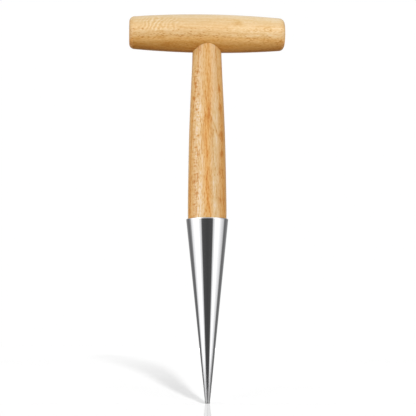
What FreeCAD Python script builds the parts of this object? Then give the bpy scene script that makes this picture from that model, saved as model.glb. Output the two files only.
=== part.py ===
import FreeCAD, Part
import math
import os

from FreeCAD import Vector as V

# T-handled dibber (bulb planter): a turned beech crossbar glued and screwed on a
# turned, swelled beech shaft, whose spigot sits in a hollow stainless-steel cone
# with a solid flat tip.
#
# Frame, millimetres: origin on the middle of the flat tip, +Z up the shaft,
# X along the crossbar, Y across it. The tool stands point down.

# ---------------------------------------------------------------- dimensions
TOTAL_HEIGHT = 280.0          # tip to the top of the crossbar

# crossbar: a barrel turned about the X axis
BAR_LENGTH = 112.4
BAR_R_MID = 13.95             # radius at the middle
BAR_R_END = 11.52             # radius the barrel curve would reach at the end plane
BAR_CORNER_R = 3.7            # rounding between the barrel and the flat ends
BAR_AXIS_Z = TOTAL_HEIGHT - BAR_R_MID

# shaft joint in the crossbar
BORE_R = 10.50                # blind bore from below
BORE_TOP_Z = 271.0
NECK_R = 10.42                # shaft where it enters the crossbar
NECK_TOP_Z = 257.2            # the neck fills the mouth of the bore up to here
TENON_R = 10.30               # above it the tenon leaves room for glue
TENON_TOP_Z = 270.0
TENON_CHAMFER = 0.8

# screw from the top, under a flush plug
PLUG_R = 4.00
PLUG_FLOOR_Z = 274.80
PLUG_GAP = 0.02
SCREW_HEAD_R = 3.70
SCREW_HEAD_TOP_Z = 274.60
SCREW_HEAD_H = 2.10
SCREW_R = 2.00                # thread crest and shank
SCREW_ROOT_R = 1.40
SCREW_PITCH = 1.80
SCREW_PLAIN_END_Z = 259.0     # plain shank above, thread below
SCREW_THREAD_END_Z = 239.0
SCREW_TIP_Z = 235.0
SCREW_CLEARANCE = 0.15

# shaft: radius along its height, from the rim of the cone to the neck
SHAFT_PROFILE = [
    (129.2, 13.80),
    (138.0, 13.87),
    (150.0, 13.75),
    (163.0, 13.54),
    (180.4, 13.22),
    (197.9, 12.73),
    (215.4, 12.03),
    (233.0, 11.21),
    (244.0, 10.72),
    (252.0, 10.46),
]
SPIGOT_BOTTOM_Z = 86.0
SPIGOT_CHAMFER = 2.0

# cone
CONE_RIM_Z = 130.7
CONE_RIM_R = 15.15
CONE_TIP_R = 1.60
CONE_WALL = 1.30              # measured across the axis
CONE_SOLID_TO_Z = 9.0         # the point is solid below this
CONE_RIM_EDGE = 0.30          # small roundings on the rim and tip
CONE_TIP_EDGE = 0.25
COLLAR_H = 2.0                # the wood fits the rim closely over this height
COLLAR_GAP = 0.04
EPOXY_T = 0.25                # adhesive bed below the collar

# nail through the back of the cone
PIN_Z = 119.0
PIN_R = 1.00
PIN_HEAD_R = 1.90
PIN_HEAD_T = 0.75
PIN_INNER_Y = 2.5             # where its point ends, from the axis

Z_AXIS = V(0, 0, 1)
ORIGIN = V(0, 0, 0)


# ------------------------------------------------------------------- helpers
def revolve_z(edges):
    """A solid from a closed profile in the XZ plane, turned about Z."""
    face = Part.Face(Part.Wire(edges))
    solid = face.revolve(ORIGIN, Z_AXIS, 360)
    return fixed(solid)


def fixed(shape):
    if shape.ShapeType != "Solid":
        shape = shape.Solids[0]
    if shape.Volume < 0:
        shape.reverse()
    assert shape.isValid()
    return shape


def single(shape):
    """The one solid that a boolean operation left."""
    solids = shape.Solids
    assert len(solids) == 1, len(solids)
    solid = solids[0]
    assert solid.isValid()
    return solid


def line(a, b):
    return Part.LineSegment(V(a[0], 0, a[1]), V(b[0], 0, b[1])).toShape()


def arc(a, m, b):
    return Part.Arc(V(a[0], 0, a[1]), V(m[0], 0, m[1]), V(b[0], 0, b[1])).toShape()


def poly(points):
    pts = list(points) + [points[0]]
    return [line(pts[i], pts[i + 1]) for i in range(len(points))]


def corner(prev, at, nxt, r):
    """Tangent points and middle of an arc of radius r that rounds the corner at."""
    u = ((prev[0] - at[0]), (prev[1] - at[1]))
    w = ((nxt[0] - at[0]), (nxt[1] - at[1]))
    lu, lw = math.hypot(*u), math.hypot(*w)
    u, w = (u[0] / lu, u[1] / lu), (w[0] / lw, w[1] / lw)
    half = math.acos(max(-1, min(1, u[0] * w[0] + u[1] * w[1]))) / 2
    t = r / math.tan(half)
    a = (at[0] + u[0] * t, at[1] + u[1] * t)
    b = (at[0] + w[0] * t, at[1] + w[1] * t)
    k = (u[0] + w[0], u[1] + w[1])
    lk = math.hypot(*k)
    k = (k[0] / lk, k[1] / lk)
    d = r / math.sin(half)
    c = (at[0] + k[0] * d, at[1] + k[1] * d)
    m = (c[0] - k[0] * r, c[1] - k[1] * r)
    return a, m, b


def cone_r(z):
    """Outer radius of the cone."""
    return CONE_TIP_R + (CONE_RIM_R - CONE_TIP_R) * z / CONE_RIM_Z


def bore_r(z):
    """Inner radius of the cone."""
    return cone_r(z) - CONE_WALL


# ------------------------------------------------------------------ crossbar
def barrel():
    """The turned barrel with flat ends and rounded corners, about the X axis."""
    half = BAR_LENGTH / 2
    sag = BAR_R_MID - BAR_R_END
    big = (half * half + sag * sag) / (2 * sag)      # radius of the barrel curve
    cz = BAR_R_MID - big                             # its centre, from the bar's axis
    r = BAR_CORNER_R
    fx = half - r                                    # centre of the corner rounding
    fz = cz + math.sqrt((big - r) ** 2 - fx * fx)
    ang = math.atan2(fz - cz, fx)
    t = (big * math.cos(ang), cz + big * math.sin(ang))      # on the barrel curve
    mid = ((ang + 0) / 2)
    m = (fx + r * math.cos(mid), fz + r * math.sin(mid))
    e = (half, fz)                                   # on the end plane
    edges = [
        arc((-t[0], t[1]), (0, BAR_R_MID), (t[0], t[1])),
        arc(t, m, e),
        line(e, (half, 0)),
        line((half, 0), (-half, 0)),
        line((-half, 0), (-half, fz)),
        arc((-half, fz), (-m[0], m[1]), (-t[0], t[1])),
    ]
    face = Part.Face(Part.Wire(Part.__sortEdges__(edges)))
    solid = fixed(face.revolve(ORIGIN, V(1, 0, 0), 360))
    solid.translate(V(0, 0, BAR_AXIS_Z))
    return solid


def make_crossbar(body):
    bore = Part.makeCylinder(BORE_R, BORE_TOP_Z - 240.0, V(0, 0, 240.0))
    plug_hole = Part.makeCylinder(PLUG_R, 20.0, V(0, 0, PLUG_FLOOR_Z))
    c = SCREW_CLEARANCE
    head_bottom = SCREW_HEAD_TOP_Z - SCREW_HEAD_H
    way = revolve_z(poly([
        (0, BORE_TOP_Z - 1.0),
        (SCREW_R + c, BORE_TOP_Z - 1.0),
        (SCREW_R + c, head_bottom),
        (SCREW_HEAD_R + c, SCREW_HEAD_TOP_Z - 0.35),
        (SCREW_HEAD_R + c, PLUG_FLOOR_Z + 0.5),
        (0, PLUG_FLOOR_Z + 0.5),
    ]))
    return single(body.cut(bore).cut(plug_hole).cut(way))


def make_plug(body):
    stock = Part.makeCylinder(PLUG_R - PLUG_GAP, 20.0, V(0, 0, PLUG_FLOOR_Z))
    return single(stock.common(body))


def make_screw():
    """Countersunk wood screw: cross recess, plain shank, thread and point."""
    head_bottom = SCREW_HEAD_TOP_Z - SCREW_HEAD_H
    pts = [(0, SCREW_HEAD_TOP_Z), (SCREW_HEAD_R, SCREW_HEAD_TOP_Z),
           (SCREW_HEAD_R, SCREW_HEAD_TOP_Z - 0.25), (SCREW_R, head_bottom),
           (SCREW_R, SCREW_PLAIN_END_Z)]
    z = SCREW_PLAIN_END_Z
    pts.append((SCREW_ROOT_R, z - 0.5))
    z -= 0.5
    while z - SCREW_PITCH > SCREW_THREAD_END_Z:
        pts.append((SCREW_ROOT_R, z - SCREW_PITCH * 0.35))
        pts.append((SCREW_R, z - SCREW_PITCH * 0.62))
        pts.append((SCREW_R, z - SCREW_PITCH * 0.70))
        pts.append((SCREW_ROOT_R, z - SCREW_PITCH))
        z -= SCREW_PITCH
    pts.append((SCREW_ROOT_R, SCREW_THREAD_END_Z))
    pts.append((0, SCREW_TIP_Z))
    solid = revolve_z(poly(pts))
    for angle in (45, 135):
        slot = Part.makeBox(4.6, 0.95, 1.9, V(-2.3, -0.475, SCREW_HEAD_TOP_Z - 1.6))
        slot.rotate(ORIGIN, Z_AXIS, angle)
        solid = solid.cut(slot)
    return single(solid)


def make_crossbar_glue():
    """Wood glue between the tenon and the bore."""
    return revolve_z(poly([
        (TENON_R, NECK_TOP_Z + 0.3),
        (BORE_R, NECK_TOP_Z + 0.3),
        (BORE_R, TENON_TOP_Z - TENON_CHAMFER),
        (TENON_R, TENON_TOP_Z - TENON_CHAMFER),
    ]))


# --------------------------------------------------------------------- shaft
def make_shaft(pin_hole):
    collar_z = CONE_RIM_Z - COLLAR_H
    prof = [p for p in SHAFT_PROFILE]
    # the part of the wood inside the rim follows the cone's bore
    rim = (bore_r(CONE_RIM_Z) - COLLAR_GAP, CONE_RIM_Z)
    prof[0] = (CONE_RIM_Z, rim[0])
    prof[-1] = (prof[-1][0], prof[-1][1])
    curve = Part.BSplineCurve()
    curve.interpolate([V(r, 0, z) for z, r in prof])
    top = prof[-1]
    bottom_r = bore_r(SPIGOT_BOTTOM_Z) - EPOXY_T
    edges = [
        curve.toShape(),
        line((top[1], top[0]), (NECK_R, top[0] + 0.9)),
        line((NECK_R, top[0] + 0.9), (NECK_R, NECK_TOP_Z)),
        line((NECK_R, NECK_TOP_Z), (TENON_R, NECK_TOP_Z + 0.3)),
        line((TENON_R, NECK_TOP_Z + 0.3), (TENON_R, TENON_TOP_Z - TENON_CHAMFER)),
        line((TENON_R, TENON_TOP_Z - TENON_CHAMFER), (TENON_R - TENON_CHAMFER, TENON_TOP_Z)),
        line((TENON_R - TENON_CHAMFER, TENON_TOP_Z), (0, TENON_TOP_Z)),
        line((0, TENON_TOP_Z), (0, SPIGOT_BOTTOM_Z)),
        line((0, SPIGOT_BOTTOM_Z), (bottom_r - SPIGOT_CHAMFER, SPIGOT_BOTTOM_Z)),
        line((bottom_r - SPIGOT_CHAMFER, SPIGOT_BOTTOM_Z),
             (bore_r(SPIGOT_BOTTOM_Z + SPIGOT_CHAMFER) - EPOXY_T, SPIGOT_BOTTOM_Z + SPIGOT_CHAMFER)),
        line((bore_r(SPIGOT_BOTTOM_Z + SPIGOT_CHAMFER) - EPOXY_T, SPIGOT_BOTTOM_Z + SPIGOT_CHAMFER),
             (bore_r(collar_z) - EPOXY_T, collar_z)),
        line((bore_r(collar_z) - EPOXY_T, collar_z),
             (bore_r(collar_z) - COLLAR_GAP, collar_z)),
        line((bore_r(collar_z) - COLLAR_GAP, collar_z), rim),
    ]
    solid = revolve_z(edges)
    pilot = revolve_z(poly([
        (0, TENON_TOP_Z + 1),
        (SCREW_R + 0.02, TENON_TOP_Z + 1),
        (SCREW_R + 0.02, SCREW_THREAD_END_Z - 0.5),
        (0, SCREW_TIP_Z - 0.8),
    ]))
    return single(solid.cut(pilot).cut(pin_hole))


# ---------------------------------------------------------------------- cone
def make_cone(pin_hole):
    rim_out = (CONE_RIM_R, CONE_RIM_Z)
    rim_in = (bore_r(CONE_RIM_Z), CONE_RIM_Z)
    tip_out = (CONE_TIP_R, 0)
    floor_r = bore_r(CONE_SOLID_TO_Z)
    a1, m1, b1 = corner((0, 0), tip_out, rim_out, CONE_TIP_EDGE)
    a2, m2, b2 = corner(tip_out, rim_out, rim_in, CONE_RIM_EDGE)
    a3, m3, b3 = corner(rim_out, rim_in, (floor_r, CONE_SOLID_TO_Z), CONE_RIM_EDGE * 0.6)
    edges = [
        line((0, 0), a1),
        arc(a1, m1, b1),
        line(b1, a2),
        arc(a2, m2, b2),
        line(b2, a3),
        arc(a3, m3, b3),
        line(b3, (floor_r, CONE_SOLID_TO_Z)),
        line((floor_r, CONE_SOLID_TO_Z), (0, CONE_SOLID_TO_Z - floor_r * 0.6)),
        line((0, CONE_SOLID_TO_Z - floor_r * 0.6), (0, 0)),
    ]
    return single(revolve_z(edges).cut(pin_hole))


def make_epoxy(pin_hole):
    """Adhesive bed between the spigot and the bore of the cone."""
    low, high = SPIGOT_BOTTOM_Z + SPIGOT_CHAMFER, CONE_RIM_Z - COLLAR_H
    solid = revolve_z(poly([
        (bore_r(low) - EPOXY_T, low),
        (bore_r(low), low),
        (bore_r(high), high),
        (bore_r(high) - EPOXY_T, high),
    ]))
    return single(solid.cut(pin_hole))


def make_pin():
    """Round-headed nail, driven in from the back (+Y) of the cone."""
    seat = cone_r(PIN_Z + PIN_HEAD_R) + 0.02
    crown = seat + PIN_HEAD_T
    # the crown is part of a ball centred on the nail's axis
    edge = seat + 0.15
    rise = crown - edge
    ball = (PIN_HEAD_R ** 2 + rise ** 2) / (2 * rise)
    half = math.asin(PIN_HEAD_R / ball) / 2
    mid = (ball * math.sin(half), crown - ball + ball * math.cos(half))
    # profile in (radius, distance from the tool's axis), turned about the nail's axis
    edges = [
        line((0, PIN_INNER_Y), (PIN_R, PIN_INNER_Y + 2.0)),
        line((PIN_R, PIN_INNER_Y + 2.0), (PIN_R, seat)),
        line((PIN_R, seat), (PIN_HEAD_R, seat)),
        line((PIN_HEAD_R, seat), (PIN_HEAD_R, edge)),
        arc((PIN_HEAD_R, edge), mid, (0, crown)),
        line((0, crown), (0, PIN_INNER_Y)),
    ]
    solid = revolve_z(edges)
    solid.rotate(ORIGIN, V(1, 0, 0), -90)            # the nail's axis now lies along +Y
    solid.translate(V(0, 0, PIN_Z))
    return single(solid)


def make_pin_hole(r):
    hole = Part.makeCylinder(r, 30.0, V(0, PIN_INNER_Y - 0.3, PIN_Z), V(0, 1, 0))
    return hole


# --------------------------------------------------------------------- build
def main():
    os.makedirs("parts", exist_ok=True)
    body = barrel()
    tight = make_pin_hole(PIN_R + 0.02)
    loose = make_pin_hole(PIN_R + 0.06)
    nodes = {
        "crossbar": make_crossbar(body),
        "crossbar_plug": make_plug(body),
        "crossbar_screw": make_screw(),
        "crossbar_glue": make_crossbar_glue(),
        "shaft": make_shaft(tight),
        "steel_cone": make_cone(loose),
        "cone_epoxy": make_epoxy(loose),
        "cone_pin": make_pin(),
    }
    for name, shape in nodes.items():
        shape.exportStep("parts/" + name + ".step")
        b = shape.BoundBox
        print("%-16s volume %9.1f  x %7.2f %7.2f  y %7.2f %7.2f  z %7.2f %7.2f" % (
            name, shape.Volume, b.XMin, b.XMax, b.YMin, b.YMax, b.ZMin, b.ZMax))
    names = list(nodes)
    for i, a in enumerate(names):
        for b in names[i + 1:]:
            common = nodes[a].common(nodes[b])
            if common.Volume > 1e-4:
                print("overlap", a, b, common.Volume)


main()
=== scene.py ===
import math

import bmesh
import bpy
from mathutils import Matrix, Vector


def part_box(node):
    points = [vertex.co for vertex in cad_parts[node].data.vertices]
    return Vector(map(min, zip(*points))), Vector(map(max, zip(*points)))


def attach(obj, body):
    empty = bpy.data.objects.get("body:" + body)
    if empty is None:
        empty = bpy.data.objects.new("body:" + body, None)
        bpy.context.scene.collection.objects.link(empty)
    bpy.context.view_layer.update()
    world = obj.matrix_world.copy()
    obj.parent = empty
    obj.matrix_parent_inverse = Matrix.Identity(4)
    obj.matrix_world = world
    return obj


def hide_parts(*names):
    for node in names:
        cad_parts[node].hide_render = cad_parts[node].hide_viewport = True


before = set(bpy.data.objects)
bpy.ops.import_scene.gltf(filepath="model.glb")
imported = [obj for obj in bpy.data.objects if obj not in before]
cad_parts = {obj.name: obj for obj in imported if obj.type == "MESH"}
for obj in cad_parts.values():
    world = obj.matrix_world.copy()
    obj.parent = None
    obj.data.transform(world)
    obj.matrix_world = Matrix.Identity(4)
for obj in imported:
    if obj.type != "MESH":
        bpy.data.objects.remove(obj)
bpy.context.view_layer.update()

MM = 0.001
TAU = 2 * math.pi

# ------------------------------------------------------------------ dimensions
# Places come from the CAD nodes; the radii of roundings and fits repeat the part's.
bar_lo, bar_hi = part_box("crossbar")
shaft_lo, shaft_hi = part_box("shaft")
cone_lo, cone_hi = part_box("steel_cone")
plug_lo, plug_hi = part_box("crossbar_plug")
pin_lo, pin_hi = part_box("cone_pin")
screw_lo, screw_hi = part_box("crossbar_screw")

BAR_HALF = bar_hi.x
BAR_TOP = bar_hi.z
BAR_R = (bar_hi.z - bar_lo.z) / 2
BAR_Z = (bar_hi.z + bar_lo.z) / 2
BAR_R_END = 11.52 * MM
BAR_CORNER = 3.7 * MM
BORE_R, BORE_TOP = 10.50 * MM, 271.0 * MM
PLUG_R, PLUG_FLOOR = 4.00 * MM, 274.80 * MM

RIM_Z = cone_hi.z
RIM_R = 15.15 * MM
HAIR = 0.02 * MM     # keeps the turned meshes inside the CAD's box
TIP_R = 1.60 * MM
WALL = 1.30 * MM


# --------------------------------------------------------------- node helpers
class Nodes:
    """Short names for building a node tree."""

    def __init__(self, tree):
        self.tree = tree
        tree.nodes.clear()

    def new(self, kind, **props):
        n = self.tree.nodes.new(kind)
        for k, v in props.items():
            setattr(n, k, v)
        return n

    def put(self, socket, value):
        if isinstance(value, bpy.types.NodeSocket):
            self.tree.links.new(value, socket)
        elif value is not None:
            socket.default_value = value

    def math(self, op, a, b=None, c=None, clamp=False):
        n = self.new("ShaderNodeMath", operation=op, use_clamp=clamp)
        for i, v in enumerate((a, b, c)):
            if v is not None:
                self.put(n.inputs[i], v)
        return n.outputs[0]

    def add(self, a, b):
        return self.math("ADD", a, b)

    def sub(self, a, b):
        return self.math("SUBTRACT", a, b)

    def mul(self, a, b):
        return self.math("MULTIPLY", a, b)

    def vmath(self, op, a, b=None, out=0):
        n = self.new("ShaderNodeVectorMath", operation=op)
        self.put(n.inputs[0], a)
        if b is not None:
            self.put(n.inputs[1], b)
        return n.outputs[out]

    def scaled(self, vec, x, y, z):
        return self.vmath("MULTIPLY", vec, (x, y, z))

    def split(self, vec):
        n = self.new("ShaderNodeSeparateXYZ")
        self.put(n.inputs[0], vec)
        return n.outputs[0], n.outputs[1], n.outputs[2]

    def join(self, x, y, z):
        n = self.new("ShaderNodeCombineXYZ")
        for i, v in enumerate((x, y, z)):
            self.put(n.inputs[i], v)
        return n.outputs[0]

    def step(self, value, lo, hi, to_lo=0.0, to_hi=1.0):
        """Smooth step of value from lo to hi."""
        n = self.new("ShaderNodeMapRange", interpolation_type="SMOOTHSTEP", clamp=True)
        self.put(n.inputs["Value"], value)
        n.inputs["From Min"].default_value = lo
        n.inputs["From Max"].default_value = hi
        n.inputs["To Min"].default_value = to_lo
        n.inputs["To Max"].default_value = to_hi
        return n.outputs[0]

    def noise(self, vec, detail=2.0, rough=0.5, distort=0.0, colour=False):
        n = self.new("ShaderNodeTexNoise", noise_dimensions="3D")
        self.put(n.inputs["Vector"], vec)
        n.inputs["Scale"].default_value = 1.0
        n.inputs["Detail"].default_value = detail
        n.inputs["Roughness"].default_value = rough
        n.inputs["Distortion"].default_value = distort
        return n.outputs["Color" if colour else "Fac"]

    def ramp(self, fac, stops, mode="LINEAR"):
        n = self.new("ShaderNodeValToRGB")
        r = n.color_ramp
        r.interpolation = mode
        while len(r.elements) > 1:
            r.elements.remove(r.elements[-1])
        first = True
        for pos, col in stops:
            if not isinstance(col, (tuple, list)):
                col = (col, col, col)
            e = r.elements[0] if first else r.elements.new(pos)
            e.position = pos
            e.color = (*col, 1.0)
            first = False
        self.put(n.inputs[0], fac)
        return n.outputs[0]

    def curve(self, value, lo, hi, stops, scale=1.0):
        """A piecewise-linear function of value, given as (value, height) pairs."""
        fac = self.math("DIVIDE", self.sub(value, lo), hi - lo, clamp=True)
        top = max(h for _, h in stops)
        out = self.ramp(fac, [((v - lo) / (hi - lo), h / top) for v, h in stops])
        return self.mul(out, top * scale)

    def mix(self, fac, a, b, mode="MIX"):
        n = self.new("ShaderNodeMix", data_type="RGBA", blend_type=mode)
        n.clamp_factor = True
        self.put(n.inputs[0], fac)
        for i, v in ((6, a), (7, b)):
            if isinstance(v, (tuple, list)) and len(v) == 3:
                v = (*v, 1.0)
            self.put(n.inputs[i], v)
        return n.outputs[2]

    def tint(self, colour, factor):
        """colour times a grey factor."""
        return self.vmath("SCALE", colour) if factor is None else self._scale(colour, factor)

    def _scale(self, colour, factor):
        n = self.new("ShaderNodeVectorMath", operation="SCALE")
        self.put(n.inputs[0], colour)
        self.put(n.inputs["Scale"], factor)
        return n.outputs[0]

    def bump(self, height, strength, distance, normal=None):
        n = self.new("ShaderNodeBump")
        n.inputs["Strength"].default_value = strength
        n.inputs["Distance"].default_value = distance
        self.put(n.inputs["Height"], height)
        if normal is not None:
            self.put(n.inputs["Normal"], normal)
        return n.outputs[0]

    def finish(self, **inputs):
        p = self.new("ShaderNodeBsdfPrincipled")
        out = self.new("ShaderNodeOutputMaterial")
        self.tree.links.new(p.outputs[0], out.inputs[0])
        for k, v in inputs.items():
            if isinstance(v, (tuple, list)) and len(v) == 3:
                v = (*v, 1.0)
            self.put(p.inputs[k.replace("_", " ")], v)
        return p


def new_material(name):
    m = bpy.data.materials.new(name)
    m.use_nodes = True
    return m, Nodes(m.node_tree)


def object_mm(n, offset=(0, 0, 0)):
    """Object coordinates in millimetres, less an offset in millimetres."""
    tc = n.new("ShaderNodeTexCoord")
    p = n.vmath("SCALE", tc.outputs["Object"])
    p.node.inputs["Scale"].default_value = 1000.0
    return n.vmath("SUBTRACT", p, offset)


# -------------------------------------------------------------------- beech
def gauss(n, value, centre, width):
    """exp(-((value-centre)/width)^2)"""
    d = n.mul(n.sub(value, centre), 1.0 / width)
    return n.math("EXPONENT", n.mul(n.mul(d, d), -1.0))


def centred(n, value, gain):
    """gain times how far a noise value is from its middle."""
    return n.mul(n.sub(value, 0.5), gain)


def marks(n, p, items):
    """A sum of small soft marks, each (x, z, half width, half height, strength)."""
    total = 0.0
    for cx, cz, sx, sz, strength in items:
        d = n.new("ShaderNodeVectorMath", operation="MULTIPLY_ADD")
        n.put(d.inputs[0], p)
        d.inputs[1].default_value = (1 / sx, 0.0, 1 / sz)
        d.inputs[2].default_value = (-cx / sx, 0.0, -cz / sz)
        far = n.vmath("DOT_PRODUCT", d.outputs[0], d.outputs[0], out="Value")
        total = n.math("MULTIPLY_ADD", n.math("EXPONENT", n.mul(far, -1.0)), strength, total)
    return total


def path(n, z, lo, hi, stops):
    """x along a wandering line given as (z, x) stops."""
    return n.sub(n.curve(z, lo, hi, [(a, b + 10.0) for a, b in stops]), 10.0)


def beech(name, along, pith, seed, palette, ring=2.9, flecks=None, figure=None, tone=0.40,
          gain=None, warm=(1.03, 0.90, 0.66),
          light=(1.0, 1.12, 1.32), relief=0.45, rough=0.40, fine_gain=1.25, fibre_gain=0.75, broad_gain=0.55, ring_gain=0.28, ray_gain=0.75,
          ray_size=(6.0, 0.62, 3.1), dash_length=0.42, hair_gain=0.5):
    """Lacquered beech as a solid: growth rings about a pith line, rays that run out
    from it, fibres and pores along the grain, and darker, rougher end grain.
    along is the grain's axis, X or Z; pith is where the pith passes, across the grain.
    Everything adds to one tone, 0 pale to 1 brown, that the palette turns into colour."""
    m, n = new_material(name)
    raw = object_mm(n)
    x, y, z = n.split(raw)
    if along == "X":
        p = n.join(y, n.sub(z, BAR_Z / MM), x)
    else:
        p = n.join(x, y, z)
    shift = (seed * 13.7, seed * 7.1, seed * 31.3)
    ps = n.vmath("ADD", p, shift)

    # the grain wanders a little along the piece
    slow = n.vmath("SUBTRACT", n.noise(n.scaled(ps, 0.020, 0.020, 0.0065), 2, 0.5, colour=True), (0.5, 0.5, 0.5))
    quick = n.vmath("SUBTRACT", n.noise(n.scaled(ps, 0.09, 0.09, 0.020), 2, 0.5, colour=True), (0.5, 0.5, 0.5))
    q = n.vmath("ADD", p, n.scaled(slow, 7.0, 7.0, 0.0))
    q = n.vmath("ADD", q, n.scaled(quick, 1.3, 1.3, 0.0))
    qs = n.vmath("ADD", q, shift)

    qx, qy, qz = n.split(q)
    dx, dy = n.sub(qx, pith[0]), n.sub(qy, pith[1])
    rho = n.math("SQRT", n.add(n.mul(dx, dx), n.mul(dy, dy)))
    reach = math.hypot(*pith)
    arc = n.mul(n.math("ARCTAN2", dy, dx), reach)

    # growth rings: slow darkening to the latewood, then a quick return
    uneven = n.mul(n.noise(n.join(n.mul(rho, 0.11), seed * 3.3, 0.0), 2, 0.6), 2.4)
    turn = n.math("FRACT", n.add(n.math("DIVIDE", rho, ring), uneven))
    late = n.ramp(turn, [(0.0, 0.30), (0.10, 0.02), (0.45, 0.12), (0.78, 0.55), (0.93, 1.0), (1.0, 0.30)])
    late = n.mul(late, n.add(0.55, n.mul(n.noise(n.scaled(qs, 0.05, 0.05, 0.02), 1), 0.9)))

    # fibres at four scales, and short dashes of pores
    broad = n.noise(n.scaled(qs, 0.17, 0.17, 0.012), 3, 0.55)
    fibre = n.noise(n.scaled(qs, 0.62, 0.62, 0.045), 3, 0.6)
    short = n.noise(n.scaled(qs, 1.15, 1.15, dash_length), 3, 0.62)
    fine = n.noise(n.scaled(qs, 4.2, 4.2, 0.30), 3, 0.6)
    hair = n.noise(n.scaled(qs, 2.1, 2.1, 0.11), 2, 0.5)
    pore = n.noise(n.scaled(qs, 7.0, 7.0, 0.8), 2, 0.7)
    pores = n.step(pore, 0.58, 0.72)
    patch = n.noise(n.scaled(qs, 0.13, 0.13, 0.05), 2, 0.5)

    # rays: thin ribbons from the pith outwards, a few millimetres tall
    cells = n.new("ShaderNodeTexVoronoi", voronoi_dimensions="3D", feature="F1")
    n.put(cells.inputs["Vector"], n.join(n.math("DIVIDE", rho, ray_size[0]), n.math("DIVIDE", arc, ray_size[1]), n.math("DIVIDE", qz, ray_size[2])))
    cells.inputs["Scale"].default_value = 1.0
    cells.inputs["Randomness"].default_value = 1.0
    pick = n.split(cells.outputs["Color"])
    some = n.step(pick[0], 0.40, 0.55)
    ray = n.mul(n.math("SUBTRACT", 1.0, n.step(cells.outputs["Distance"], 0.16, 0.46)), some)
    if flecks is not None:
        ray = n.mul(ray, flecks(n, x, y, z))

    # the rays turn silvery or dark where they lie in the surface
    tc = n.new("ShaderNodeTexCoord")
    nx, ny, nz = n.split(tc.outputs["Normal"])
    if along == "X":
        across, endways = n.join(ny, nz, 0.0), n.math("ABSOLUTE", nx)
    else:
        across, endways = n.join(nx, ny, 0.0), n.math("ABSOLUTE", nz)
    radial = n.vmath("DOT_PRODUCT", across, n.vmath("NORMALIZE", n.join(dx, dy, 0.0)), out="Value")
    quarter = n.math("SUBTRACT", 1.0, n.math("ABSOLUTE", radial), clamp=True)     # 1 on a quartered face
    end = n.step(endways, 0.72, 0.94)
    silver = n.mul(n.step(quarter, 0.45, 0.85), n.step(pick[1], 0.40, 0.60))

    t = n.add(tone, centred(n, broad, broad_gain))
    t = n.add(t, centred(n, fibre, fibre_gain))
    lively = n.add(0.55, n.mul(patch, 0.9))
    t = n.add(t, n.mul(centred(n, short, fine_gain), lively))
    t = n.add(t, centred(n, fine, 0.50))
    t = n.add(t, centred(n, hair, hair_gain))
    t = n.add(t, n.mul(n.sub(late, 0.35), ring_gain))
    t = n.add(t, n.mul(pores, 0.12))
    t = n.add(t, n.mul(n.mul(ray, ray_gain), n.sub(1.0, n.mul(silver, 1.4))))
    if gain is not None:
        t = n.add(tone, n.mul(n.sub(t, tone), gain(n, x, y, z) if callable(gain) else gain))
    hue, pale, painted_shading = None, None, None
    extra = []
    gloss = 0.0
    if figure is not None:
        t, hue, pale, painted_shading, gloss, extra = figure(n, t, x, y, z, qs)
    t = n.add(t, n.mul(end, 0.24))
    colour = n.ramp(t, palette)
    # A figure's masks colour the grain's own streaks and figure, and also paint light and shade: warmer where shade
    # falls, paler where highlights fall, and lighter or darker bands.
    if hue is not None:
        colour = n.mix(hue, colour, n.vmath("MULTIPLY", colour, warm))
    if pale is not None:
        colour = n.mix(pale, colour, n.vmath("MULTIPLY", colour, light))

    if painted_shading is not None:
        colour = n.tint(colour, painted_shading)

    rgh = n.add(rough, centred(n, fibre, 0.16))
    rgh = n.add(rgh, n.mul(ray, -0.05))
    rgh = n.add(rgh, n.mul(end, 0.14))
    rgh = n.add(rgh, gloss)
    height = n.add(n.mul(fine, 0.55), n.mul(short, 0.6))
    height = n.sub(height, n.mul(pores, 0.5))
    height = n.add(height, n.mul(ray, 0.25))
    normal = n.bump(height, relief, 0.00006)
    for h, strength, distance in extra:
        normal = n.bump(h, strength, distance, normal)
    n.finish(Base_Color=colour, Roughness=rgh, Normal=normal, Specular_IOR_Level=0.36,
             Coat_Weight=0.26, Coat_Roughness=0.24)
    return m


def bar_flecks(n, x, y, z):
    """More ray flecks on the lower front than on the top."""
    low = n.step(z, BAR_Z / MM + 5.0, BAR_Z / MM - 3.0)
    return n.add(0.25, n.mul(low, 0.9))


def bar_gain(n, x, y, z):
    """The figure is calmer on the upper part of the bar."""
    return n.step(z, BAR_Z / MM - 4.0, BAR_Z / MM + 6.0, 0.98, 0.58)


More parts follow.
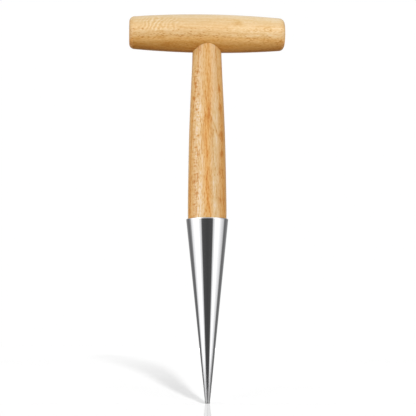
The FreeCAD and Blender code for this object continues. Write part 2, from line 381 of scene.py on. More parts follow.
def bar_figure(n, t, x, y, z, qs):
    front = n.step(y, 0.0, -4.0)
    up = n.sub(z, BAR_Z / MM)
    # rippled figure on the upper left of the front
    bend = centred(n, n.noise(n.scaled(qs, 0.16, 0.16, 0.10), 2, 0.5), 9.0)
    wave = n.math("SINE", n.mul(n.add(n.sub(x, n.mul(up, 0.55)), bend), TAU / 3.1))
    strip = n.mul(n.step(up, -3.5, 1.5), n.step(up, 11.0, 7.0))
    where = n.mul(n.add(gauss(n, x, -39.0, 8.5), n.mul(gauss(n, x, -25.0, 3.6), 0.6)), strip)
    ripple = n.mul(wave, n.add(0.05, n.mul(where, 0.95)))
    t = n.sub(t, n.mul(ripple, 0.17))
    # painted shade: darker towards the underside, less so on the right
    t = n.add(t, n.mul(n.step(up, -3.5, -10.0, 0.0, 0.16), n.step(x, -4.0, 14.0, 1.0, 0.35)))
    # a small round mark near the right end
    dx, dz = n.sub(x, 43.1), n.sub(up, 0.8)
    r = n.math("SQRT", n.add(n.mul(dx, dx), n.mul(n.mul(dz, dz), 2.6)))
    t = n.add(t, n.mul(n.mul(gauss(n, r, 2.5, 0.7), 0.34), front))
    t = n.add(t, n.mul(n.mul(gauss(n, r, 0.0, 0.8), 0.30), front))
    # a stained spot right of the middle, high on the front
    dx, dz = n.sub(x, 21.3), n.sub(up, 5.6)
    r = n.math("SQRT", n.add(n.mul(n.mul(dx, dx), 0.5), n.mul(n.mul(dz, dz), 1.6)))
    edge = n.noise(n.scaled(qs, 0.9, 0.9, 0.5), 3, 0.6)
    t = n.add(t, n.mul(n.mul(n.step(n.add(r, n.mul(edge, 3.0)), 5.6, 1.6), 0.34), front))
    # handled corners
    wear = n.mul(n.step(n.math("ABSOLUTE", x), 51.0, 55.0), n.noise(n.scaled(qs, 0.5, 0.5, 0.5), 3, 0.6))
    t = n.add(t, n.mul(wear, 0.30))
    # painted shade: the colour turns warmer and deeper towards the underside
    hue = n.curve(up, -14.0, 4.0, [(-14.0, 1.0), (-11.2, 0.92), (-8.9, 0.74), (-6.4, 0.54), (-3.4, 0.12), (4.0, 0.0)])
    # painted highlight: paler over the upper front and the top, more so on the right half; the ripple figure adds its
    # own pale stripes
    side = n.step(x, 4.0, 26.0)
    pale = n.mul(gauss(n, up, -4.5, 4.0), n.add(0.20, n.mul(side, 0.45)))
    pale = n.add(pale, n.mul(gauss(n, up, 1.0, 2.8), n.add(0.30, n.mul(side, 0.40))))
    pale = n.add(pale, n.mul(n.step(up, 1.5, 9.0), n.add(0.72, n.mul(side, 0.26))))
    pale = n.add(pale, n.mul(n.mul(wave, where), 0.25))
    # painted light and shade: the left half and the top a shade deeper, lighter and darker bands at set heights, and a
    # lighter strip along the very bottom
    painted_shading = n.mul(n.step(x, -14.0, 10.0, 0.965, 1.0), n.step(up, 3.0, 6.5, 1.0, 0.955))
    painted_shading = n.add(painted_shading, n.mul(gauss(n, up, 1.4, 1.8), 0.03))
    painted_shading = n.add(painted_shading, n.mul(gauss(n, up, -6.5, 1.2), 0.06))
    painted_shading = n.sub(painted_shading, n.mul(gauss(n, up, -10.6, 2.0), 0.06))
    painted_shading = n.add(painted_shading, n.step(up, -12.5, -13.6, 0.0, 0.08))
    return t, hue, pale, painted_shading, n.mul(wear, 0.05), [(ripple, 0.12, 0.0004)]


def shaft_gain(n, x, y, z):
    """The figure is calmer down the right of the front."""
    return n.sub(1.52, n.mul(n.mul(gauss(n, x, 5.6, 3.4), n.step(y, 0.0, -5.0)), 0.48))


def shaft_flecks(n, x, y, z):
    """Clusters of flecks down the left of the front."""
    total = 0.30
    for cz, cx, wz, wx in ((235.0, -8.0, 5.0, 3.0), (206.0, -8.5, 9.0, 3.0), (179.0, -8.5, 5.0, 3.0),
                           (150.0, -9.0, 9.0, 3.0), (192.0, 8.0, 6.0, 3.0), (163.0, 9.0, 6.0, 3.0)):
        total = n.add(total, n.mul(gauss(n, z, cz, wz), gauss(n, x, cx, wx)))
    return total


def scattered_marks():
    """Small reddish-brown marks: many down the left of the front, a few longer ones on the right.
    Each is (x, z, width, height, strength), spread by three irrational steps."""
    out = []
    for i in range(26):
        u, v, s = (0.618034 * i + 0.37) % 1.0, (0.754878 * i + 0.11) % 1.0, (0.569840 * i + 0.53) % 1.0
        out.append((-10.2 + 3.2 * v, 139.0 + 3.8 * (i + 0.8 * u), 0.48 + 0.60 * s * s, 0.48 + 0.40 * u, 0.24 + 0.34 * s))
    for i in range(6):
        u, v = (0.618034 * i + 0.20) % 1.0, (0.754878 * i + 0.45) % 1.0
        out.append((7.6 + 2.3 * v, 142.0 + 16.0 * (i + 0.4 * u), 0.80 + 0.40 * v, 1.9 + 0.9 * u, 0.26 + 0.16 * v))
    return out + [(-7.7, 244.0, 1.0, 7.0, -0.20), (7.6, 249.0, 0.9, 5.5, -0.14)]


def shaft_figure(n, t, x, y, z, qs):
    front = n.step(y, 0.0, -5.0)
    # a warm streak that wanders down the front, and a branch that leaves it to the right
    wander = centred(n, n.noise(n.join(0.0, 3.1, n.mul(z, 0.13)), 2, 0.5), 1.0)
    core_x = path(n, z, 125.0, 262.0, [(130.0, 1.6), (150.0, -1.4), (168.0, -0.6), (188.0, -1.6), (206.0, 0.3), (256.0, 0.0)])
    branch_x = path(n, z, 180.0, 230.0, [(188.0, 7.9), (206.0, 0.9), (226.0, -3.8)])
    d = n.sub(x, n.add(core_x, wander))
    e = n.sub(x, branch_x)
    lower = n.step(z, 222.0, 205.0)
    band = n.mul(n.mul(gauss(n, d, 0.3, 2.7), front), n.add(0.60, n.mul(lower, 0.35)))
    strength = n.curve(z, 125.0, 262.0, [(130.0, 1.3), (158.0, 1.2), (170.0, 0.8), (186.0, 1.2), (206.0, 0.75), (216.0, 0.32), (260.0, 0.38)])
    t = n.add(t, n.mul(n.mul(n.mul(gauss(n, d, 0.0, 0.52), front), strength), 0.38))
    span = n.mul(n.step(z, 187.0, 191.0), n.step(z, 226.0, 220.0))
    t = n.add(t, n.mul(n.mul(n.mul(gauss(n, e, 0.0, 0.55), front), span), 0.30))
    # small reddish-brown marks, most of them down the left
    jitter = n.vmath("SUBTRACT", n.noise(n.scaled(qs, 0.9, 0.9, 0.9), 2, 0.5, colour=True), (0.5, 0.5, 0.5))
    loose = n.vmath("ADD", n.join(x, 0.0, z), n.scaled(jitter, 1.6, 0.0, 1.6))
    spots = n.mul(marks(n, loose, [(a, b, 1.2 * c, 1.15 * d, e) for a, b, c, d, e in scattered_marks()]), front)
    t = n.add(t, n.mul(spots, 1.45))
    # a column of short scalloped ribs round them
    ribs = n.noise(n.vmath("ADD", n.scaled(n.join(x, y, z), 0.30, 0.30, 0.85), n.scaled(jitter, 0.8, 0.8, 0.8)), 2, 0.65)
    column = n.mul(n.mul(gauss(n, n.add(x, n.step(z, 190.0, 206.0, 9.4, 7.9)), 0.0, 2.1), front), n.step(z, 244.0, 238.0))
    t = n.add(t, n.mul(centred(n, ribs, 2.0), column))
    band = n.math("MAXIMUM", band, n.mul(spots, 0.8))
    # painted shade: both flanks are warmed, and the lower right flank most
    band = n.math("MAXIMUM", band, n.mul(n.step(n.math("ABSOLUTE", n.add(x, 0.8)), 8.5, 11.5), n.add(0.30, n.mul(lower, 0.20))))
    band = n.math("MAXIMUM", band, n.mul(n.step(x, 6.4, 9.2), n.mul(lower, 0.75)))
    # painted highlight: paler sheen lanes either side of the streak, stronger low down
    sheen_lanes = n.add(gauss(n, x, -6.2, 2.6), n.mul(gauss(n, x, 4.5, 2.4), 1.22))
    pale = n.mul(n.mul(sheen_lanes, front), n.add(0.14, n.mul(lower, 0.60)))
    # the last millimetres above the steel are darker
    t = n.add(t, n.step(z, 134.0, 130.6, 0.0, 0.08))
    # painted light and shade: darker overall and most near the top, the lower right flank darker, a lighter lane left
    # of the streak and a darker one right of it low down, and lighter flanks higher up
    painted_shading = n.mul(n.step(z, 200.0, 224.0, 0.955, 0.93), n.sub(1.0, n.mul(n.mul(n.step(x, 6.2, 9.0), lower), 0.08)))
    painted_shading = n.add(painted_shading, n.mul(n.sub(gauss(n, x, -6.4, 2.4), gauss(n, x, 1.6, 2.2)), n.mul(lower, 0.04)))
    painted_shading = n.add(painted_shading, n.mul(n.mul(n.step(n.math("ABSOLUTE", x), 6.4, 8.4), n.sub(1.0, lower)), 0.055))
    return t, band, pale, painted_shading, 0.0, []


# -------------------------------------------------------------------- metals
def polished_steel(name):
    """Mirror-polished stainless steel, with faint polishing lines down the cone."""
    m, n = new_material(name)
    p = object_mm(n)
    x, y, z = n.split(p)
    around = n.math("ARCTAN2", y, x)
    ring = n.join(n.mul(n.math("COSINE", around), 9.0), n.mul(n.math("SINE", around), 9.0), n.mul(z, 0.016))
    lines = n.noise(ring, 5, 0.65)
    hair = n.noise(n.vmath("MULTIPLY", ring, (6.0, 6.0, 1.8)), 3, 0.6)
    cloud = n.noise(n.scaled(p, 0.06, 0.06, 0.035), 3, 0.55)
    near_tip = n.step(z, 26.0, 2.0)
    tip_darkening = n.step(z, 38.0, 6.0)
    scuff = n.noise(n.scaled(p, 1.3, 1.3, 0.35), 4, 0.65)
    colour = n.tint((0.655, 0.655, 0.665), n.add(0.965, n.mul(lines, 0.07)))
    # the steel's colour is darker towards the tip
    colour = n.tint(colour, n.sub(1.0, n.mul(tip_darkening, 0.41)))
    colour = n.mix(n.mul(n.mul(near_tip, n.step(scuff, 0.42, 0.66)), 0.35), colour, (0.36, 0.355, 0.35))
    rgh = n.add(0.050, n.mul(n.step(cloud, 0.35, 0.75), 0.030))
    rgh = n.add(rgh, n.mul(n.step(hair, 0.48, 0.72), 0.030))
    worn = n.curve(z, 0.0, 46.0, [(0.0, 0.31), (7.0, 0.26), (15.0, 0.15), (24.0, 0.075), (34.0, 0.03), (46.0, 0.0)])
    rgh = n.add(rgh, n.mul(worn, n.add(0.60, n.mul(scuff, 0.80))))
    normal = n.bump(n.add(lines, n.mul(hair, 0.5)), 0.10, 0.00001)
    n.finish(Base_Color=colour, Metallic=1.0, Roughness=rgh, Normal=normal)
    return m


def plain_steel(name, colour, rough, scale):
    """Drawn or plated steel for the small fixings."""
    m, n = new_material(name)
    p = object_mm(n)
    grain = n.noise(n.scaled(p, scale, scale, scale * 0.4), 4, 0.6)
    spots = n.noise(n.scaled(p, scale * 2.2, scale * 2.2, scale * 2.2), 2, 0.5)
    c = n.tint(colour, n.add(0.86, n.mul(grain, 0.26)))
    c = n.mix(n.mul(n.step(spots, 0.62, 0.74), 0.4), c, tuple(v * 0.62 for v in colour))
    r = n.add(rough, n.mul(n.sub(grain, 0.5), 0.22))
    n.finish(Base_Color=c, Metallic=1.0, Roughness=r, Normal=n.bump(grain, 0.3, 0.00003))
    return m


def cured_glue(name, pale, deep, rough):
    """Dried glue: uneven colour with small bubbles."""
    m, n = new_material(name)
    p = object_mm(n)
    cloud = n.noise(n.scaled(p, 0.35, 0.35, 0.35), 4, 0.6)
    cell = n.new("ShaderNodeTexVoronoi", voronoi_dimensions="3D", feature="F1")
    n.put(cell.inputs["Vector"], p)
    cell.inputs["Scale"].default_value = 1.4
    bubble = n.sub(1.0, n.step(cell.outputs["Distance"], 0.10, 0.24))
    c = n.mix(n.step(cloud, 0.35, 0.7), pale, deep)
    c = n.tint(c, n.sub(1.0, n.mul(bubble, 0.25)))
    r = n.add(rough, n.mul(cloud, 0.15))
    n.finish(Base_Color=c, Roughness=r, Normal=n.bump(n.sub(cloud, bubble), 0.4, 0.0001))
    return m


# ------------------------------------------------------------------- meshes
def turned(name, profile, around, axis="Z", at=(0, 0, 0), uv=(0.0, 0.0, 1.0, 1.0), wobble=None):
    """A closed solid of revolution from (radius, distance along the axis) points that
    start and end on the axis. Its map is one rectangle: round it across, along it up."""
    verts, rows = [], []
    for r, h in profile:
        if r < 1e-9:
            rows.append([len(verts)])
            verts.append((0.0, 0.0, h))
            continue
        row = []
        for k in range(around):
            a = TAU * k / around
            rr = r + (wobble(a, h, r) if wobble else 0.0)
            row.append(len(verts))
            verts.append((rr * math.cos(a), rr * math.sin(a), h))
        rows.append(row)
    length = [0.0]
    for (r0, h0), (r1, h1) in zip(profile, profile[1:]):
        length.append(length[-1] + math.hypot(r1 - r0, h1 - h0))
    total = length[-1]
    faces, maps = [], []
    u0, v0, u1, v1 = uv
    for i in range(len(rows) - 1):
        a, b = rows[i], rows[i + 1]
        va, vb = v0 + (v1 - v0) * length[i] / total, v0 + (v1 - v0) * length[i + 1] / total
        for k in range(around):
            k2 = (k + 1) % around
            ua, ub = u0 + (u1 - u0) * k / around, u0 + (u1 - u0) * (k + 1) / around
            if len(a) == 1 and len(b) == 1:
                continue
            if len(a) == 1:
                faces.append((a[0], b[k2], b[k]))
                maps.append((((ua + ub) / 2, va), (ub, vb), (ua, vb)))
            elif len(b) == 1:
                faces.append((a[k], a[k2], b[0]))
                maps.append(((ua, va), (ub, va), ((ua + ub) / 2, vb)))
            else:
                faces.append((a[k], a[k2], b[k2], b[k]))
                maps.append(((ua, va), (ub, va), (ub, vb), (ua, vb)))
    if axis == "X":      # the profile's height runs along +X
        verts = [(v[2], v[0], v[1]) for v in verts]
    elif axis == "Y":    # along +Y
        verts = [(v[1], v[2], v[0]) for v in verts]
    verts = [(v[0] + at[0], v[1] + at[1], v[2] + at[2]) for v in verts]
    me = bpy.data.meshes.new(name)
    me.from_pydata(verts, [], faces)
    layer = me.uv_layers.new(name="OFBake")
    i = 0
    for face in maps:
        for co in face:
            layer.data[i].uv = co
            i += 1
    me.validate()
    bm = bmesh.new()
    bm.from_mesh(me)
    bmesh.ops.recalc_face_normals(bm, faces=bm.faces)
    bm.to_mesh(me)
    bm.free()
    ob = bpy.data.objects.new(name, me)
    bpy.context.scene.collection.objects.link(ob)
    return ob


def smooth(ob, angle=32):
    ob.data.shade_smooth()
    ob.data.set_sharp_from_angle(angle=math.radians(angle))
    return ob


def apply_modifiers(ob):
    dg = bpy.context.evaluated_depsgraph_get()
    me = bpy.data.meshes.new_from_object(ob.evaluated_get(dg), preserve_all_data_layers=True, depsgraph=dg)
    old = ob.data
    ob.modifiers.clear()
    ob.data = me
    me.name = old.name
    bpy.data.meshes.remove(old)


def cut(ob, *tools):
    for tool in tools:
        mod = ob.modifiers.new("cut", "BOOLEAN")
        mod.operation = "DIFFERENCE"
        mod.solver = "EXACT"
        mod.object = tool
    bpy.context.view_layer.update()
    apply_modifiers(ob)
    for tool in tools:
        me = tool.data
        bpy.data.objects.remove(tool)
        bpy.data.meshes.remove(me)


def arc_points(cx, cy, r, a0, a1, count):
    """count points of an arc, without its first one."""
    return [(cx + r * math.cos(a0 + (a1 - a0) * i / count), cy + r * math.sin(a0 + (a1 - a0) * i / count)) for i in range(1, count + 1)]


def lerp_points(a, b, count):
    """count points from a to b, without a."""
    return [(a[0] + (b[0] - a[0]) * i / count, a[1] + (b[1] - a[1]) * i / count) for i in range(1, count + 1)]


def set_material(ob, mat):
    ob.data.materials.clear()
    ob.data.materials.append(mat)


# the barrel of the crossbar
SAG = BAR_R - BAR_R_END
BIG = (BAR_HALF ** 2 + SAG ** 2) / (2 * SAG)
BIG_C = BAR_R - BIG
CORNER_X = BAR_HALF - BAR_CORNER
CORNER_R = BIG_C + math.sqrt((BIG - BAR_CORNER) ** 2 - CORNER_X ** 2)
TANGENT = math.atan2(CORNER_R - BIG_C, CORNER_X)


def bar_radius(x):
    return BIG_C + math.sqrt(BIG ** 2 - x ** 2)


def hand_turned(amount, waves, along):
    """A turner's small unevenness, in metres."""
    def f(a, h, r):
        return amount * (0.6 * math.sin(h * along + 1.3) * math.cos(waves * a + 0.7)
                         + 0.4 * math.sin(h * along * 2.3 + 0.4) * math.cos((waves + 1) * a + 2.1))
    return f


def make_bar():
    right = [(CORNER_R * f, BAR_HALF) for f in (0.0, 0.12, 0.25, 0.4, 0.55, 0.7, 0.82, 0.91, 0.97, 1.0)]
    corner = arc_points(CORNER_X, CORNER_R, BAR_CORNER, 0.0, TANGENT, 14)
    right += [(r, x) for x, r in corner]
    tx = BIG * math.cos(TANGENT)
    span = [tx * math.cos(math.pi * i / 150) for i in range(1, 150)]
    # even spacing reads better than cosine spacing on so long a piece
    span = [tx - 2 * tx * i / 170 for i in range(1, 170)]
    middle = [(bar_radius(x), x) for x in span]
    left = [(r, -x) for r, x in reversed(right)]
    bar = turned("crossbar_beech", right + middle + left, 192, axis="X", at=(0, 0, BAR_Z),
                 uv=(0.002, 0.002, 0.878, 0.998), wobble=hand_turned(0.00003, 2, 90))
    bore = turned("tool_a", [(0, 235 * MM), (BORE_R, 235 * MM), (BORE_R, BORE_TOP), (0, BORE_TOP)], 160,
                  uv=(0.885, 0.002, 0.998, 0.60))
    plug = turned("tool_b", [(0, BORE_TOP - 1 * MM), (2.15 * MM, BORE_TOP - 1 * MM), (2.15 * MM, 272.5 * MM),
                             (3.85 * MM, 274.25 * MM), (3.85 * MM, PLUG_FLOOR), (PLUG_R, PLUG_FLOOR),
                             (PLUG_R, 290 * MM), (0, 290 * MM)], 96, uv=(0.885, 0.61, 0.998, 0.998))
    cut(bar, bore, plug)
    return smooth(bar)


def shaft_curve():
    """The shaft's side as a smooth curve through the part's stations, (height, radius)."""
    pts = [(130.7, 13.81), (138.0, 13.87), (150.0, 13.75), (163.0, 13.54), (180.4, 13.22), (197.9, 12.73),
           (215.4, 12.03), (233.0, 11.21), (244.0, 10.72), (252.0, 10.46)]
    out = []
    for i in range(len(pts) - 1):
        p0 = pts[max(i - 1, 0)]
        p1, p2 = pts[i], pts[i + 1]
        p3 = pts[min(i + 2, len(pts) - 1)]
        count = max(2, int((p2[0] - p1[0]) / 0.9))
        m1 = (p2[1] - p0[1]) / (p2[0] - p0[0]) * (p2[0] - p1[0])
        m2 = (p3[1] - p1[1]) / (p3[0] - p1[0]) * (p2[0] - p1[0])
        for k in range(count):
            t = k / count
            h = p1[0] + (p2[0] - p1[0]) * t
            r = ((2 * t ** 3 - 3 * t ** 2 + 1) * p1[1] + (t ** 3 - 2 * t ** 2 + t) * m1
                 + (-2 * t ** 3 + 3 * t ** 2) * p2[1] + (t ** 3 - t ** 2) * m2)
            out.append((r * MM, h * MM))
    out.append((pts[-1][1] * MM, pts[-1][0] * MM))
    return out


def cone_radius(h):
    return TIP_R + (RIM_R - HAIR - TIP_R) * h / RIM_Z


def make_shaft():
    low, collar = shaft_lo.z, RIM_Z - 2.0 * MM
    inner = lambda h, gap: cone_radius(h) - WALL - gap
    prof = [(0, low), (inner(low, 0.25 * MM) * 0.5, low), (inner(low, 0.25 * MM) - 2 * MM, low)]
    prof += lerp_points(prof[-1], (inner(low + 2 * MM, 0.25 * MM), low + 2 * MM), 3)
    prof += lerp_points(prof[-1], (inner(collar, 0.25 * MM), collar), 30)
    prof += [(inner(collar, 0.04 * MM), collar + 0.05 * MM)]
    side = shaft_curve()
    prof += lerp_points(prof[-1], (side[0][0] - 0.01 * MM, side[0][1] - 0.1 * MM), 3)
    prof += side
    neck, tenon = 10.42 * MM, 10.30 * MM
    prof += [(neck, 252.9 * MM), (neck, 255.0 * MM), (neck, 257.2 * MM), (tenon, 257.5 * MM)]
    prof += lerp_points(prof[-1], (tenon, 269.2 * MM), 8)
    prof += [(tenon - 0.8 * MM, 270.0 * MM), (5 * MM, 270.0 * MM), (2.02 * MM, 270.0 * MM)]
    # the pilot hole of the screw
    prof += lerp_points(prof[-1], (2.02 * MM, 238.5 * MM), 20)
    prof += [(0, 234.2 * MM)]
    ob = turned("shaft_beech", prof, 160, uv=(0.002, 0.002, 0.998, 0.998))
    # the nail's hole
    hole = turned("tool_c", [(0, 2.2 * MM), (1.02 * MM, 2.2 * MM), (1.02 * MM, 20 * MM), (0, 20 * MM)], 32, axis="Y",
                  at=(0, 0, 119 * MM), uv=(0.999, 0.999, 1.0, 1.0))
    cut(ob, hole)
    return smooth(ob)


def make_cone():
    e, te = 0.30 * MM, 0.28 * MM
    slope = math.atan2(RIM_R - HAIR - TIP_R, RIM_Z)
    prof = [(0, 0), (TIP_R * 0.4, 0), (TIP_R * 0.7, 0)]
    # small rounding round the flat tip
    t = te * math.tan((math.pi / 2 - slope) / 2)
    cx, cz = TIP_R - t, te
    prof += [(cx, 0)] + arc_points(cx, cz, te, -math.pi / 2, -slope, 6)
    last = prof[-1]
    # rim: outer rounding, flat, inner rounding
    t2 = e * math.tan((math.pi / 2 + slope) / 2)
    ox, oz = RIM_R - HAIR - t2, RIM_Z - e
    start = (ox + e * math.cos(-slope), oz + e * math.sin(-slope))
    prof += lerp_points(last, start, 150)
    prof += arc_points(ox, oz, e, -slope, math.pi / 2, 8)
    inner_r = RIM_R - WALL
    e2 = 0.2 * MM
    prof += [(inner_r + e2 + 0.02 * MM, RIM_Z)]
    prof += arc_points(inner_r + e2, RIM_Z - e2, e2, math.pi / 2, math.pi - slope, 4)
    floor = 9.0 * MM
    prof += lerp_points(prof[-1], (cone_radius(floor) - WALL, floor), 60)
    prof += [(0, floor - 0.6 * (cone_radius(floor) - WALL))]
    ob = turned("cone_polished", prof, 224, uv=(0.002, 0.002, 0.998, 0.998))
    hole = turned("tool_d", [(0, 6 * MM), (1.06 * MM, 6 * MM), (1.06 * MM, 20 * MM), (0, 20 * MM)], 32, axis="Y",
                  at=(0, 0, 119 * MM), uv=(0.999, 0.999, 1.0, 1.0))
    cut(ob, hole)
    return smooth(ob, 25)


def make_plug():
    """Flush plug: its top follows the barrel, with a hair of a chamfer."""
    r = PLUG_R - 0.03 * MM
    ch = 0.12 * MM
    prof = [(0, 0.0), (r * 0.5, 0.0), (r - 0.2 * MM, 0.0), (r, 0.2 * MM)]
    prof += lerp_points(prof[-1], (r, 1.0), 10)[:-1]
    ob = turned("plug_beech", [(0, PLUG_FLOOR), (r * 0.6, PLUG_FLOOR), (r - 0.25 * MM, PLUG_FLOOR), (r, PLUG_FLOOR + 0.25 * MM)]
                + lerp_points((r, PLUG_FLOOR + 0.25 * MM), (r, 279.0 * MM), 8)
                + [(r, 279.6 * MM), (r - ch, 279.8 * MM)]
                + [((r - ch) * f, 279.8 * MM + (1 - f) * 0.01 * MM) for f in (0.9, 0.8, 0.65, 0.5, 0.35, 0.2)]
                + [(0, 279.82 * MM)], 96)
    for v in ob.data.vertices:
        if v.co.z > 279.55 * MM:
            rad = math.hypot(v.co.x, v.co.y)
            drop = ch if rad > r - ch * 0.5 else 0.0
            v.co.z = BAR_Z + math.sqrt(bar_radius(v.co.x) ** 2 - v.co.y ** 2) - drop - 0.02 * MM
        elif v.co.z > 275.3 * MM:
            top = BAR_Z + math.sqrt(bar_radius(v.co.x) ** 2 - v.co.y ** 2) - ch
            f = (v.co.z - 275.05 * MM) / (279.8 * MM - 275.05 * MM)
            v.co.z = 275.05 * MM + f * (top - 275.05 * MM)
    return smooth(ob)


def make_screw():
    """Countersunk wood screw with a running thread and a cross recess."""
    head, root, crest, pitch = 3.70, 1.40, 1.99, 1.8
    top, shank_end, thread_end, tip = screw_hi.z / MM, 259.0, 239.0, screw_lo.z / MM
    rows = [(0.0, top), (1.2, top), (2.4, top), (3.4, top), (head, top - 0.08), (head, top - 0.25)]
    rows += [(head + (2.0 - head) * i / 6, top - 0.25 + (-1.85) * i / 6) for i in range(1, 7)]
    rows += [(2.0, top - 2.1 + (shank_end - top + 2.1) * i / 8) for i in range(1, 9)]
    h = shank_end
    while h > tip + 0.4:
        h -= 0.11
        rows.append((None, h))
    rows.append((0.0, tip))
    around = 48
    prof = [(r if r is not None else 1.7, hh) for r, hh in rows]
    threaded = [r is None for r, _ in rows]
    ob = turned("screw_zinc", [(r * MM, hh * MM) for r, hh in prof], around)
    for v in ob.data.vertices:
        h = v.co.z / MM
        if h < shank_end - 0.05 and h > tip + 0.05:
            a = math.atan2(v.co.y, v.co.x) / TAU
            ph = (h / pitch - a) % 1.0
            ridge = max(0.0, 1.0 - abs(ph - 0.5) / 0.30)
            ridge = min(1.0, ridge * 1.25)
            fade_top = min(1.0, (shank_end - h) / 1.2)
            taper = min(1.0, max(0.0, (h - tip) / 4.2))
            base = root * taper
            if h > shank_end - 0.8:
                base = root + (2.0 - root) * (1 - (shank_end - h) / 0.8)
            r = base + (crest - root) * ridge * fade_top * min(1.0, taper * 1.15)
            r = min(r, 2.0)
            rad = math.hypot(v.co.x, v.co.y)
            if rad > 1e-9:
                v.co.x *= r * MM / rad
                v.co.y *= r * MM / rad
    bm = bmesh.new()
    for angle in (45, 135):
        box = bmesh.ops.create_cube(bm, size=1.0)["verts"]
        bmesh.ops.scale(bm, vec=(4.4 * MM, 0.95 * MM, 3.2 * MM), verts=box)
        for v in box:
            if v.co.z < 0:
                v.co.x *= 0.45
                v.co.y *= 0.8
        bmesh.ops.rotate(bm, cent=(0, 0, 0), matrix=Matrix.Rotation(math.radians(angle), 3, "Z"), verts=box)
    me = bpy.data.meshes.new("tool_e")
    bm.to_mesh(me)
    bm.free()
    me.transform(Matrix.Translation((0, 0, screw_hi.z)))
    tool = bpy.data.objects.new("tool_e", me)
    bpy.context.scene.collection.objects.link(tool)
    mod = ob.modifiers.new("cut", "BOOLEAN")
    mod.operation = "DIFFERENCE"
    mod.solver = "EXACT"
    mod.use_self = True
    mod.object = tool
    bpy.context.view_layer.update()
    apply_modifiers(ob)
    bpy.data.objects.remove(tool)
    bpy.data.meshes.remove(me)
    return smooth(ob, 40)


def make_pin():
    """Round-headed nail with a slightly flattened crown."""
    seat = 14.14 * MM
    crown = pin_hi.y
    hr = 1.9 * MM
    prof = [(0, pin_lo.y), (0.25 * MM, pin_lo.y + 0.5 * MM), (1.0 * MM, pin_lo.y + 2.0 * MM)]
    prof += lerp_points(prof[-1], (1.0 * MM, seat - 0.05 * MM), 12)
    prof += [(1.1 * MM, seat), (hr - 0.1 * MM, seat), (hr, seat + 0.06 * MM), (hr, seat + 0.16 * MM)]
    rise = crown - (seat + 0.16 * MM)
    for i in range(1, 10):
        f = i / 10
        prof.append((hr * math.cos(f * math.pi / 2) ** 0.85, seat + 0.16 * MM + rise * math.sin(f * math.pi / 2)))
    prof.append((0, crown))
    ob = turned("nail_head", prof, 48, axis="Y", at=(0, 0, 119 * MM))
    return smooth(ob, 35)


# -------------------------------------------------------------------- build
bar = make_bar()
shaft = make_shaft()
cone = make_cone()
plug = make_plug()
screw = make_screw()
pin = make_pin()

SHAFT_PALETTE = [(0.0, (0.675, 0.470, 0.240)), (0.25, (0.640, 0.410, 0.168)), (0.50, (0.595, 0.338, 0.100)),
                 (0.75, (0.530, 0.250, 0.042)), (1.0, (0.440, 0.160, 0.010))]
BAR_PALETTE = [(0.0, (0.705, 0.528, 0.296)), (0.25, (0.668, 0.462, 0.226)), (0.50, (0.618, 0.390, 0.156)),
               (0.75, (0.545, 0.298, 0.088)), (1.0, (0.450, 0.205, 0.042))]
bar_wood = beech("beech_bar", "X", (-38.0, -46.0), 3.0, BAR_PALETTE, ring=2.6, flecks=bar_flecks,
                 figure=bar_figure, gain=bar_gain, warm=(1.0, 0.84, 0.50),
                 light=(1.12, 1.26, 1.55), relief=0.14, rough=0.42, tone=0.36,
                 ray_gain=0.60, ray_size=(5.0, 0.55, 2.6), hair_gain=0.35)
shaft_wood = beech("beech_shaft", "Z", (8.0, 62.0), 5.0, SHAFT_PALETTE, ring=3.1, flecks=shaft_flecks,
                   figure=shaft_figure, gain=shaft_gain, relief=0.19, rough=0.38, tone=0.40, dash_length=0.38,
                   fibre_gain=0.42, fine_gain=0.72, broad_gain=0.34, hair_gain=1.05, light=(1.02, 1.29, 2.10))
plug_wood = beech("beech_plug", "Z", (20.0, 30.0), 9.0, BAR_PALETTE, ring=1.9, rough=0.45)
steel = polished_steel("steel_polished")
zinc = plain_steel("steel_zinc", (0.70, 0.70, 0.67), 0.34, 1.6)
nail = plain_steel("steel_nail", (0.62, 0.62, 0.62), 0.22, 2.2)
wood_glue = cured_glue("glue_wood", (0.83, 0.74, 0.52), (0.70, 0.58, 0.36), 0.45)
epoxy = cured_glue("glue_epoxy", (0.55, 0.50, 0.38), (0.42, 0.36, 0.25), 0.25)

for piece, node, slot, mat in (
    (bar, "crossbar", "crossbar", bar_wood),
    (shaft, "shaft", "shaft", shaft_wood),
    (cone, "steel_cone", "steel_cone", steel),
    (plug, "crossbar_plug", "crossbar_plug", plug_wood),
    (screw, "crossbar_screw", "screw", zinc),
    (pin, "cone_pin", "pin", nail),
):
    set_material(piece, mat)
    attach(piece, "root")
    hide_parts(node)

for node, mat in (("crossbar_glue", wood_glue), ("cone_epoxy", epoxy)):
    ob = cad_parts[node]
    for s in ob.material_slots:
        s.material = mat

# ------------------------------------------------------------------- camera
AZ = math.radians(-4.12)
D, HC, F_PX, AIM_X, AIM_Z, ROLL = 1.071, 0.020, 1505.0, 0.00059, 0.1389, math.radians(-0.10)
eye = Vector((math.sin(AZ) * D, -math.cos(AZ) * D, HC))
aim = Vector((AIM_X * math.cos(AZ), AIM_X * math.sin(AZ), AIM_Z))
fwd = (aim - eye).normalized()
right = fwd.cross(Vector((0, 0, 1))).normalized()
up = right.cross(fwd)
right, up = right * math.cos(ROLL) + up * math.sin(ROLL), up * math.cos(ROLL) - right * math.sin(ROLL)
cam_data = bpy.data.cameras.new("camera")
cam_data.sensor_fit = "HORIZONTAL"
cam_data.sensor_width = 36.0
cam_data.lens = 36.0 * F_PX / 416.0
cam_data.clip_start, cam_data.clip_end = 0.05, 50.0
cam = bpy.data.objects.new("camera", cam_data)
bpy.context.scene.collection.objects.link(cam)
cam.matrix_world = Matrix(((right.x, up.x, -fwd.x, eye.x), (right.y, up.y, -fwd.y, eye.y),
                           (right.z, up.z, -fwd.z, eye.z), (0, 0, 0, 1)))
bpy.context.scene.camera = cam

